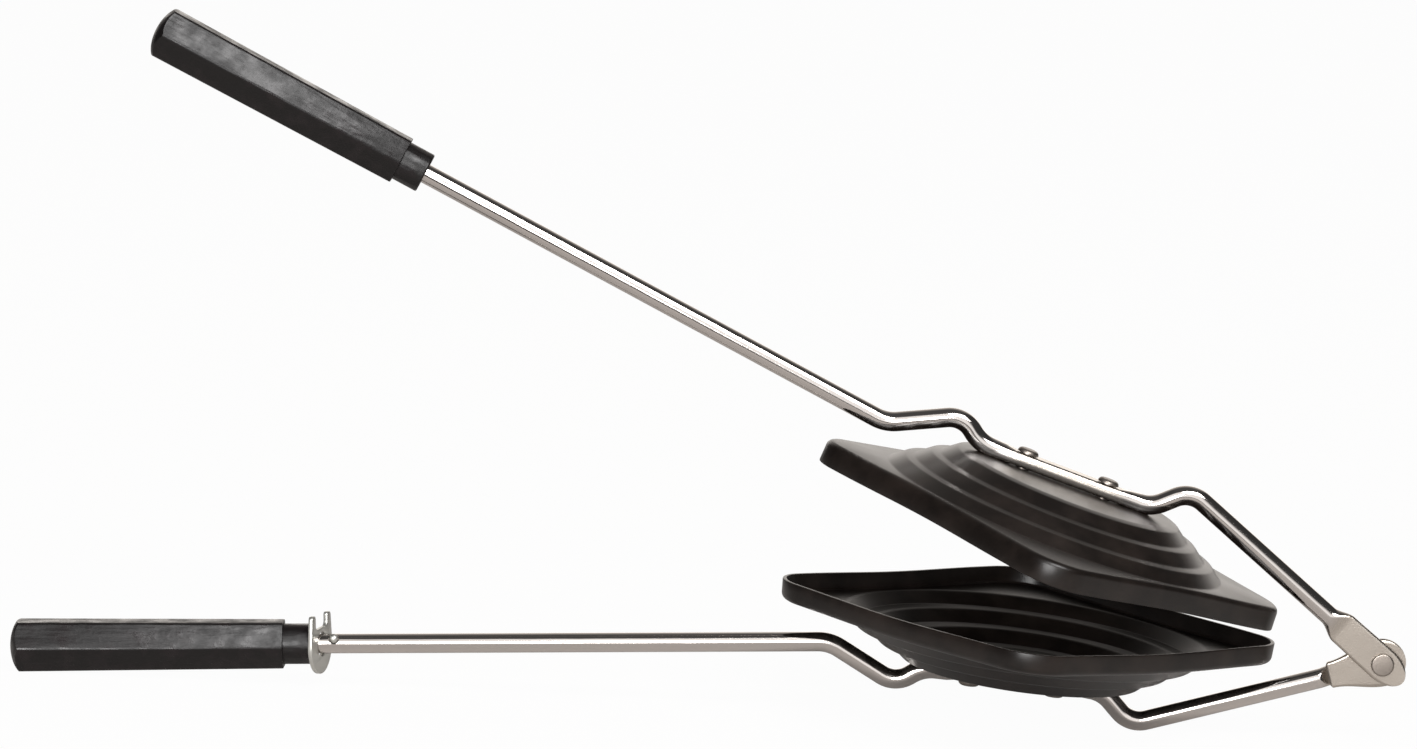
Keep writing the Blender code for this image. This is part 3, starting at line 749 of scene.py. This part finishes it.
def set_rivet(name, radius, heads):
    """A rivet along Z, with a shank between two heads: (face, radius, height, rounding) each."""
    (low, low_radius, low_height, low_round), (high, high_radius, high_height, high_round) = heads
    piece = start_piece(name, "circle", vertices=RIVET_SIDES, radius=low_radius, fill_type="NGON",
                        location=(0, 0, low - low_height))
    extrude((0, 0, low_height))
    extrude()
    resize((radius / low_radius, radius / low_radius, 1))
    extrude((0, 0, high - low))
    extrude()
    resize((high_radius / radius, high_radius / radius, 1))
    extrude((0, 0, high_height))
    for level, rounding in ((low - low_height, low_round), (high + high_height, high_round)):

        def on_end(edge):
            ends = all(abs(end.co.z - level) < TINY for end in edge.verts)
            return ends and not edge.is_boundary

        round_edges("EDGE", on_end, rounding, 6)
    close_surface()
    return piece


class TOASTER_OT_rivets(bpy.types.Operator):
    """The hinge rivet and the four rivets that hold the trays"""
    bl_idname = "toaster.rivets"
    bl_label = "Rivets"

    def execute(self, context):
        rod, eye, rivet, tray, finish = settings(context, "rod eye rivet tray finish")
        steel = make_material(tumbled_steel, finish)
        middle, seat = seat_middle(rod_corners(rod, rivet, tray))
        face = seat + rod.seat_thickness / 2 + rivet.fit
        tail = seat - rod.seat_thickness / 2 - rivet.fit - tray.wall - rivet.fit
        model = set_rivet("tray_rivet", rivet.radius, (
            (tail, rivet.tail_radius, rivet.tail_height, rivet.tail_height * TAIL_ROUND),
            (face, rivet.head_radius, rivet.head_height, rivet.head_height * HEAD_ROUND)))
        for side in ("lower", "upper"):
            for end, way in (("front", -1), ("rear", 1)):
                piece = copy_piece(model, f"{side}_{end}_tray_rivet")
                shift = Matrix.Translation((middle + way * rivet.pitch / 2, 0, 0))
                place(piece, half_matrix(side, rod.handle_flare) @ shift)
                finish_piece(piece, steel, f"{side}_half", f"{side}_{end}_rivet",
                             smooth=50)
        remove(model)
        face = eye.lap + eye.thickness + rivet.fit
        head = (rivet.hinge_head_radius, rivet.hinge_head_height,
                rivet.hinge_head_height * HINGE_HEAD_ROUND)
        piece = set_rivet("hinge_pin_rivet", rivet.hinge_radius, ((-face, *head), (face, *head)))
        place(piece, turned_at(HINGE, math.pi / 2, "X"))
        finish_piece(piece, steel, "lower_half", "hinge_rivet", smooth=50)
        return {"FINISHED"}


# Grips

def mould_grip(name, grip, rod, rivet):
    """A six-sided grip along X, with its collar's front at zero and its butt at the far end."""
    to_corners = 1 / math.cos(math.pi / 6)
    butt = -grip.collar_length - grip.length
    overrun = grip.butt_dome_length
    blank = grip.length + overrun
    slope = (grip.butt_flats - grip.front_flats) / grip.length
    blank_flats = grip.butt_flats + slope * overrun
    piece = start_piece(name, "cylinder", vertices=6, radius=blank_flats / 2 * to_corners,
                        depth=blank, location=(butt - overrun + blank / 2, 0, 0), rotation=ALONG_X)
    pick("VERT", lambda corner: corner.co.x > butt)
    taper = grip.front_flats / blank_flats
    resize((1, taper, taper))
    round_edges("EDGE", lambda edge: edge.calc_length() > grip.length, grip.edge_radius, 4)
    round_edges("FACE", lambda face: face.calc_center_median().x > -grip.collar_length - TINY,
                grip.edge_radius / 3, 2)
    close_surface()

    deep, wide = grip.butt_dome_length, grip.butt_dome_radius
    dome = start_piece("dome", "uv_sphere", segments=FINE_SIDES, ring_count=FINE_SIDES // 2,
                       radius=1, scale=(deep, wide, wide), location=(butt + deep, 0, 0))
    pick("VERT", lambda corner: corner.co.x > butt + deep + TINY)
    move((grip.length + grip.collar_length, 0, 0))
    combine(piece, dome, "INTERSECT")

    collar = start_piece("collar", "cylinder", vertices=COLLAR_SIDES, radius=grip.collar_radius,
                         depth=2 * grip.collar_length, rotation=ALONG_X,
                         location=(-grip.collar_length, 0, 0))
    round_edges("FACE", lambda face: face.calc_center_median().x > -TINY, grip.collar_round, 4)
    combine(piece, collar, "UNION")
    drill(piece, rod.radius + rivet.fit, 2 * (rod.tang_length + rivet.fit), rotation=ALONG_X)
    along = piece.data.attributes.new("moulding", "FLOAT_VECTOR", "POINT")
    for corner, value in zip(piece.data.vertices, along.data):
        value.vector = corner.co
    return piece


class TOASTER_OT_grips(bpy.types.Operator):
    """Two six-sided moulded grips with a rounded butt and a round collar"""
    bl_idname = "toaster.grips"
    bl_label = "Grips"

    def execute(self, context):
        rod, rivet, tray, grip, finish = settings(context, "rod rivet tray grip finish")
        phenolic = make_material(moulded_phenolic, finish)
        collar = rod_corners(rod, rivet, tray)["collar"][0]
        handle = turned_at((collar.x, 0, collar.y), rod.handle_flare, "Y")
        model = mould_grip("moulded_grip", grip, rod, rivet)
        for side in ("lower", "upper"):
            piece = copy_piece(model, f"{side}_moulded_grip")
            place(piece, half_matrix(side, rod.handle_flare) @ handle)
            finish_piece(piece, phenolic, f"{side}_half", f"{side}_grip", smooth=30)
        remove(model)
        return {"FINISHED"}


# Latch

def stamp_latch(name, latch):
    """The latch plate, across X with the rod's axis at zero and its prongs up."""
    width = latch.radius - latch.tip_inset
    piece = start_piece(name, "circle", vertices=FINE_SIDES, radius=latch.radius, fill_type="NGON",
                        rotation=ALONG_X)
    bpy.ops.mesh.bisect(plane_co=ORIGIN, plane_no=(0, 0, 1), clear_outer=True)
    pick("EDGE", lambda edge: all(abs(end.co.z) < TINY for end in edge.verts))
    extrude((0, 0, latch.near_tip))
    resize((1, width / latch.radius, 1))
    pick("VERT", lambda corner: corner.co.z > latch.near_tip / 2 and corner.co.y < 0)
    move((0, 0, latch.far_tip - latch.near_tip))
    pick_all()
    extrude((latch.thickness, 0, 0))
    pick_all()
    move((-latch.thickness / 2, 0, 0))
    close_surface()

    tall = 2 * latch.far_tip
    notch = start_piece("notch", "cube", size=1,
                        scale=(4 * latch.thickness, 2 * latch.notch_half_width, tall),
                        location=(0, 0, latch.notch_floor + tall / 2))

    def on_foot(edge):
        first, second = edge.verts
        along = abs(first.co.y - second.co.y) < TINY
        return along and max(first.co.z, second.co.z) < latch.notch_floor + TINY

    round_edges("EDGE", on_foot, latch.notch_fillet, 8)
    combine(piece, notch, "DIFFERENCE")
    drill(piece, latch.hole_radius, 4 * latch.thickness, rotation=ALONG_X)
    only(piece)
    bpy.ops.object.mode_set(mode="EDIT")

    def on_tip(edge):
        first, second = edge.verts
        across = abs(first.co.x - second.co.x) > latch.thickness / 2
        return across and first.co.z > latch.near_tip - TINY

    round_edges("EDGE", on_tip, latch.tip_round, 6)
    leave_edit()
    soften(piece, "Stamped edges", latch.edge)
    return piece


class TOASTER_OT_latch(bpy.types.Operator):
    """The latch plate that swings on the lower rod, and the stop that keeps it in place"""
    bl_idname = "toaster.latch"
    bl_label = "Latch"

    def execute(self, context):
        latch, finish = settings(context, "latch finish")
        zinc = make_material(zinc_plated_steel, finish)
        slope = math.atan2(LATCH_AXIS.z, LATCH_AXIS.x)
        handle = turned_at(LATCH_PLACE, -slope, "Y")
        plate = stamp_latch("zinc_latch_plate", latch)
        place(plate, handle @ Matrix.Rotation(-latch.tilt, 4, "Z"))
        finish_piece(plate, zinc, "latch", "latch_plate", smooth=40)
        pin = start_piece("latch_stop_pin", "cylinder", vertices=PIN_SIDES,
                          radius=latch.stop_radius, depth=2 * latch.stop_reach)
        round_edges("EDGE", lambda edge: edge.verts[0].co.z * edge.verts[1].co.z > 0,
                    latch.stop_radius * HEAD_ROUND, 6)
        close_surface()
        place(pin, handle @ turned_at((latch.stop_stand_off, 0, 0), latch.stop_lean, "X"))
        finish_piece(pin, zinc, "lower_half", "latch_stop", smooth=60)
        return {"FINISHED"}


# Materials

def add_node(tree, kind, inputs=(), **values):
    """Adds a shader node, sets its properties, and fills its inputs. An input that is given a node
    is linked to that node's first output."""
    made = tree.nodes.new(f"ShaderNode{kind}")
    for name, value in values.items():
        setattr(made, name, value)
    for name, value in dict(inputs).items():
        if isinstance(value, bpy.types.Node):
            value = next(socket for socket in value.outputs if socket.enabled)
        if isinstance(value, bpy.types.NodeSocket):
            tree.links.new(value, made.inputs[name])
        else:
            made.inputs[name].default_value = value
    return made


def make_material(surface, finish):
    """A material with the name and the shader of a function below."""
    material = bpy.data.materials.new(surface.__name__)
    material.use_nodes = True
    material.node_tree.nodes.clear()
    add = functools.partial(add_node, material.node_tree)
    add("OutputMaterial", {"Surface": surface(add, finish)})
    return material


def per_metre(millimetres):
    """Noise scale whose features are this wide."""
    return 1000 / millimetres


def rgba(values):
    return (*values, 1)


def sprayed_nonstick_coating(add, finish):
    """Pressed sheet with a sprayed and baked non-stick coating: warm black, satin, with the fine
    orange peel of the spray and a soft mottle where it has been rubbed."""
    place_on = add("TexCoord").outputs["Object"]
    peel = add("TexNoise", {"Vector": place_on, "Scale": per_metre(0.7), "Detail": 3})
    rub = add("TexNoise", {
        "Vector": place_on, "Scale": per_metre(14), "Detail": 5, "Roughness": 0.6})
    worn = add("MapRange", {"Value": rub, "From Min": 0.40, "From Max": 0.72})
    tone = add("Mix", {
        "Factor": worn, "A": rgba(finish.coating), "B": rgba(finish.coating_worn)
    }, data_type="RGBA")
    gloss = add("MapRange", {"Value": rub, "To Min": 0.26, "To Max": 0.37})
    bump = add("Bump", {"Height": peel, "Strength": 0.12, "Distance": 0.00005})
    return add("BsdfPrincipled", {
        "Base Color": tone, "Roughness": gloss, "Normal": bump, "IOR": 1.38})


def bright_plated_steel(add, finish):
    """Drawn steel rod, polished and plated: a bright mirror with slight waves from bending. Its
    forged eyes are satin and a little warmer, with their grain drawn coarser than real."""
    place_on = add("TexCoord").outputs["Object"]
    forged = add("Attribute", attribute_name="forged").outputs["Fac"]
    wave = add("TexNoise", {"Vector": place_on, "Scale": per_metre(9), "Detail": 1})
    grain = add("TexNoise", {"Vector": place_on, "Scale": per_metre(0.5), "Detail": 4})
    tone = add("Mix", {
        "Factor": forged, "A": rgba(finish.bright_steel), "B": rgba(finish.forged_steel)
    }, data_type="RGBA")
    gloss = add("MapRange", {"Value": forged, "To Min": 0.10, "To Max": 0.30})
    waves = add("Bump", {"Height": wave, "Strength": 0.3, "Distance": 0.0004})
    bump = add("Bump", {"Height": grain, "Strength": forged, "Distance": 0.00003, "Normal": waves})
    return add("BsdfPrincipled", {
        "Base Color": tone, "Metallic": 1.0, "Roughness": gloss, "Normal": bump})


def mottled_metal(add, tone, millimetres, smooth, rough, strength, depth):
    """Metal whose roughness and height change together, in spots this wide."""
    place_on = add("TexCoord").outputs["Object"]
    marks = add("TexNoise", {"Vector": place_on, "Scale": per_metre(millimetres), "Detail": 4})
    gloss = add("MapRange", {"Value": marks, "To Min": smooth, "To Max": rough})
    bump = add("Bump", {"Height": marks, "Strength": strength, "Distance": depth})
    return add("BsdfPrincipled", {
        "Base Color": rgba(tone), "Metallic": 1.0, "Roughness": gloss, "Normal": bump})


def tumbled_steel(add, finish):
    """Steel rivets, tumbled after heading: satin, with random marks drawn coarser than real."""
    return mottled_metal(add, finish.rivet_steel, 0.6, smooth=0.32, rough=0.5, strength=0.4,
                         depth=0.00005)


def zinc_plated_steel(add, finish):
    """Stamped steel with bright zinc plating: pale grey and satin, with cloudy passivation."""
    return mottled_metal(add, finish.zinc, 2.5, smooth=0.34, rough=0.52, strength=0.3,
                         depth=0.0001)


def moulded_phenolic(add, finish):
    """Compression-moulded phenolic resin: black and half gloss. Its flow lines run along the grip,
    and a cloudy bloom with slight sink marks breaks up its reflections."""
    place_on = add("Attribute", attribute_name="moulding").outputs["Vector"]
    drawn = add("Mapping", {"Vector": place_on, "Scale": (0.2, 1, 1)})
    flow = add("TexNoise", {"Vector": drawn, "Scale": per_metre(5), "Detail": 3})
    cloud = add("TexNoise", {
        "Vector": place_on, "Scale": per_metre(6), "Detail": 3, "Roughness": 0.6})
    bloom = add("MapRange", {"Value": cloud, "From Min": 0.45, "From Max": 0.7})
    tone = add("Mix", {
        "Factor": bloom, "A": rgba(finish.phenolic), "B": rgba(finish.phenolic_bloom)
    }, data_type="RGBA")
    gloss = add("MapRange", {
        "Value": cloud, "From Min": 0.35, "From Max": 0.65, "To Min": 0.46, "To Max": 0.25})
    sink = add("Bump", {"Height": flow, "Strength": 0.9, "Distance": 0.0005})
    bump = add("Bump", {"Height": cloud, "Strength": 0.5, "Distance": 0.0003, "Normal": sink})
    return add("BsdfPrincipled", {
        "Base Color": tone, "Roughness": gloss, "Normal": bump, "IOR": 1.38})


# Stage

# How much of the floor is plain white to the camera, and to reflections
CAMERA_WHITE = 0.97
MIRRORED_WHITE = 0.1

# Brightness round the object, by degrees from the front horizon, over the top and down behind
STUDIO_LEVELS = (
    (-180, 0.7), (-100, 0.1), (-20, 0.04), (-8, 0.06), (0, 0.68), (47, 0.72), (58, 0.04),
    (112, 0.05), (135, 0.22), (152, 0.28), (166, 0.8), (180, 0.9))
BACKDROP_START = 120
BACKDROP_WARMTH = 0.12
WINDOW_WARMTH = 0.02

# Brightness beside the object, with the sideways parts of the aim where it sets in and is full
SIDE_LEVEL = 0.025
SIDE_START = 0.35
SIDE_END = 0.55


def matt_floor(add, finish):
    """Matt pale floor: nearly white to the camera, with the object's shadow kept. Reflections see
    a little of that white."""
    path = add("LightPath").outputs
    seen = add("Math", {0: path["Is Glossy Ray"], 1: path["Is Transmission Ray"]},
               operation="ADD", use_clamp=True)
    mirrored = add("Math", {0: seen, 1: MIRRORED_WHITE}, operation="MULTIPLY")
    camera = add("Math", {0: path["Is Camera Ray"], 1: CAMERA_WHITE}, operation="MULTIPLY")
    white = add("Math", {0: mirrored, 1: camera}, operation="ADD", use_clamp=True)
    matt = add("BsdfDiffuse", {"Color": rgba(finish.floor)})
    glow = add("Emission", {"Color": WHITE, "Strength": 1.0})
    return add("MixShader", {0: white, 1: matt, 2: glow})


def studio_world():
    """Soft studio round the object: a tall soft window behind the camera, dark to its sides and
    overhead, with a pale backdrop behind the object. The camera sees plain white."""
    world = bpy.data.worlds.new("studio")
    world.use_nodes = True
    world.node_tree.nodes.clear()
    add = functools.partial(add_node, world.node_tree)
    aim = add("TexCoord").outputs["Generated"]
    axes = add("SeparateXYZ", {0: aim}).outputs
    front = add("Math", {0: axes["Y"], 1: -1.0}, operation="MULTIPLY")
    height = add("Math", {0: axes["Z"], 1: front}, operation="ARCTAN2")
    turn = add("MapRange", {"Value": height, "From Min": -math.pi, "From Max": math.pi})
    ramp = add("ValToRGB", {"Fac": turn})
    stops = ramp.color_ramp.elements
    while len(stops) < len(STUDIO_LEVELS):
        stops.new(0.5)
    for stop, (degrees, level) in zip(stops, STUDIO_LEVELS):
        stop.position = (degrees + 180) / 360
        warmth = BACKDROP_WARMTH if degrees > BACKDROP_START else WINDOW_WARMTH
        stop.color = (level, level * (1 - warmth / 2), level * (1 - warmth), 1)
    aside = add("Math", {0: axes["X"]}, operation="ABSOLUTE")
    beside = add("MapRange", {"Value": aside, "From Min": SIDE_START, "From Max": SIDE_END})
    tone = add("Mix", {"Factor": beside, "A": ramp, "B": rgba([SIDE_LEVEL] * 3)}, data_type="RGBA")
    studio = add("Background", {"Color": tone, "Strength": 2.0})
    white = add("Background", {"Color": WHITE, "Strength": 1.0})
    path = add("LightPath").outputs
    both = add("MixShader", {0: path["Is Camera Ray"], 1: studio, 2: white})
    add("OutputWorld", {"Surface": both})
    return world


def add_softbox(name, location, aim, width, height, power):
    """A rectangular soft light that faces a point."""
    light = bpy.data.lights.new(name, "AREA")
    light.shape = "RECTANGLE"
    light.size = width
    light.size_y = height
    light.energy = power
    item = bpy.data.objects.new(name, light)
    item.location = location
    item.rotation_euler = (Vector(aim) - Vector(location)).to_track_quat("-Z", "Y").to_euler()
    bpy.context.scene.collection.objects.link(item)


class TOASTER_OT_stage(bpy.types.Operator):
    """Pale floor, soft studio light and the camera at the photograph's angle"""
    bl_idname = "toaster.stage"
    bl_label = "Stage"

    def execute(self, context):
        scene = context.scene
        stage, finish = settings(context, "stage finish")
        floor = start_piece("studio_floor", "plane", size=stage.floor_size,
                            location=(0, stage.floor_size / 2 - stage.floor_front, 0))
        bpy.ops.mesh.subdivide(number_cuts=4)
        leave_edit()
        floor.data.materials.append(make_material(matt_floor, finish))
        scene.world = studio_world()
        add_softbox("front_softbox", location=(0.6, -1.2, 1.5), aim=(-0.1, 0, 0.15), width=1.2,
                    height=0.8, power=36)
        add_softbox("low_softbox", location=(-0.32, -1.7, 0.46), aim=(0.05, 0, 0.1), width=0.85,
                    height=0.6, power=24)
        target = HINGE + Vector((-stage.target_run, 0, stage.target_height))
        turn, rise, roll = stage.azimuth, stage.elevation, stage.roll
        level = Vector((math.cos(turn), math.sin(turn), 0))
        flat = math.cos(rise)
        back = Vector((math.sin(turn) * flat, -math.cos(turn) * flat, math.sin(rise)))
        above = back.cross(level)
        right = level * math.cos(roll) + above * math.sin(roll)
        up = back.cross(right)
        camera = bpy.data.cameras.new("photo_camera")
        camera.sensor_width = 36
        camera.lens = stage.pixels_per_metre * stage.distance / PHOTO_WIDTH * camera.sensor_width
        camera.clip_start = 0.05
        camera.clip_end = 100
        item = bpy.data.objects.new("photo_camera", camera)
        turned = Matrix((right, up, back)).transposed().to_4x4()
        item.matrix_world = Matrix.Translation(target + back * stage.distance) @ turned
        scene.collection.objects.link(item)
        scene.camera = item
        scene.view_settings.view_transform = "Standard"
        return {"FINISHED"}


class TOASTER_PT_panel(bpy.types.Panel):
    """Lists the operators that model the toaster"""
    bl_label = "Sandwich toaster"
    bl_idname = "TOASTER_PT_panel"
    bl_space_type = "VIEW_3D"
    bl_region_type = "UI"
    bl_category = "Toaster"

    def draw(self, context):
        for step in OPERATORS:
            self.layout.operator(step.bl_idname)


SIZES = {"rod": RodSizes, "eye": EyeSizes, "tray": TraySizes, "rivet": RivetSizes,
         "grip": GripSizes, "latch": LatchSizes, "finish": Finishes, "stage": StageSettings}
OPERATORS = (TOASTER_OT_rods, TOASTER_OT_trays, TOASTER_OT_rivets, TOASTER_OT_grips,
             TOASTER_OT_latch, TOASTER_OT_stage)
CLASSES = (*SIZES.values(), *OPERATORS, TOASTER_PT_panel)


def register():
    for kind in CLASSES:
        bpy.utils.register_class(kind)
    for name, kind in SIZES.items():
        setattr(bpy.types.Scene, f"toaster_{name}", bpy.props.PointerProperty(type=kind))


def unregister():
    for name in SIZES:
        delattr(bpy.types.Scene, f"toaster_{name}")
    for kind in reversed(CLASSES):
        bpy.utils.unregister_class(kind)


def main():
    register()
    for step in OPERATORS:
        getattr(bpy.ops.toaster, step.bl_idname.split(".")[1])()


if __name__ == "__main__":
    main()
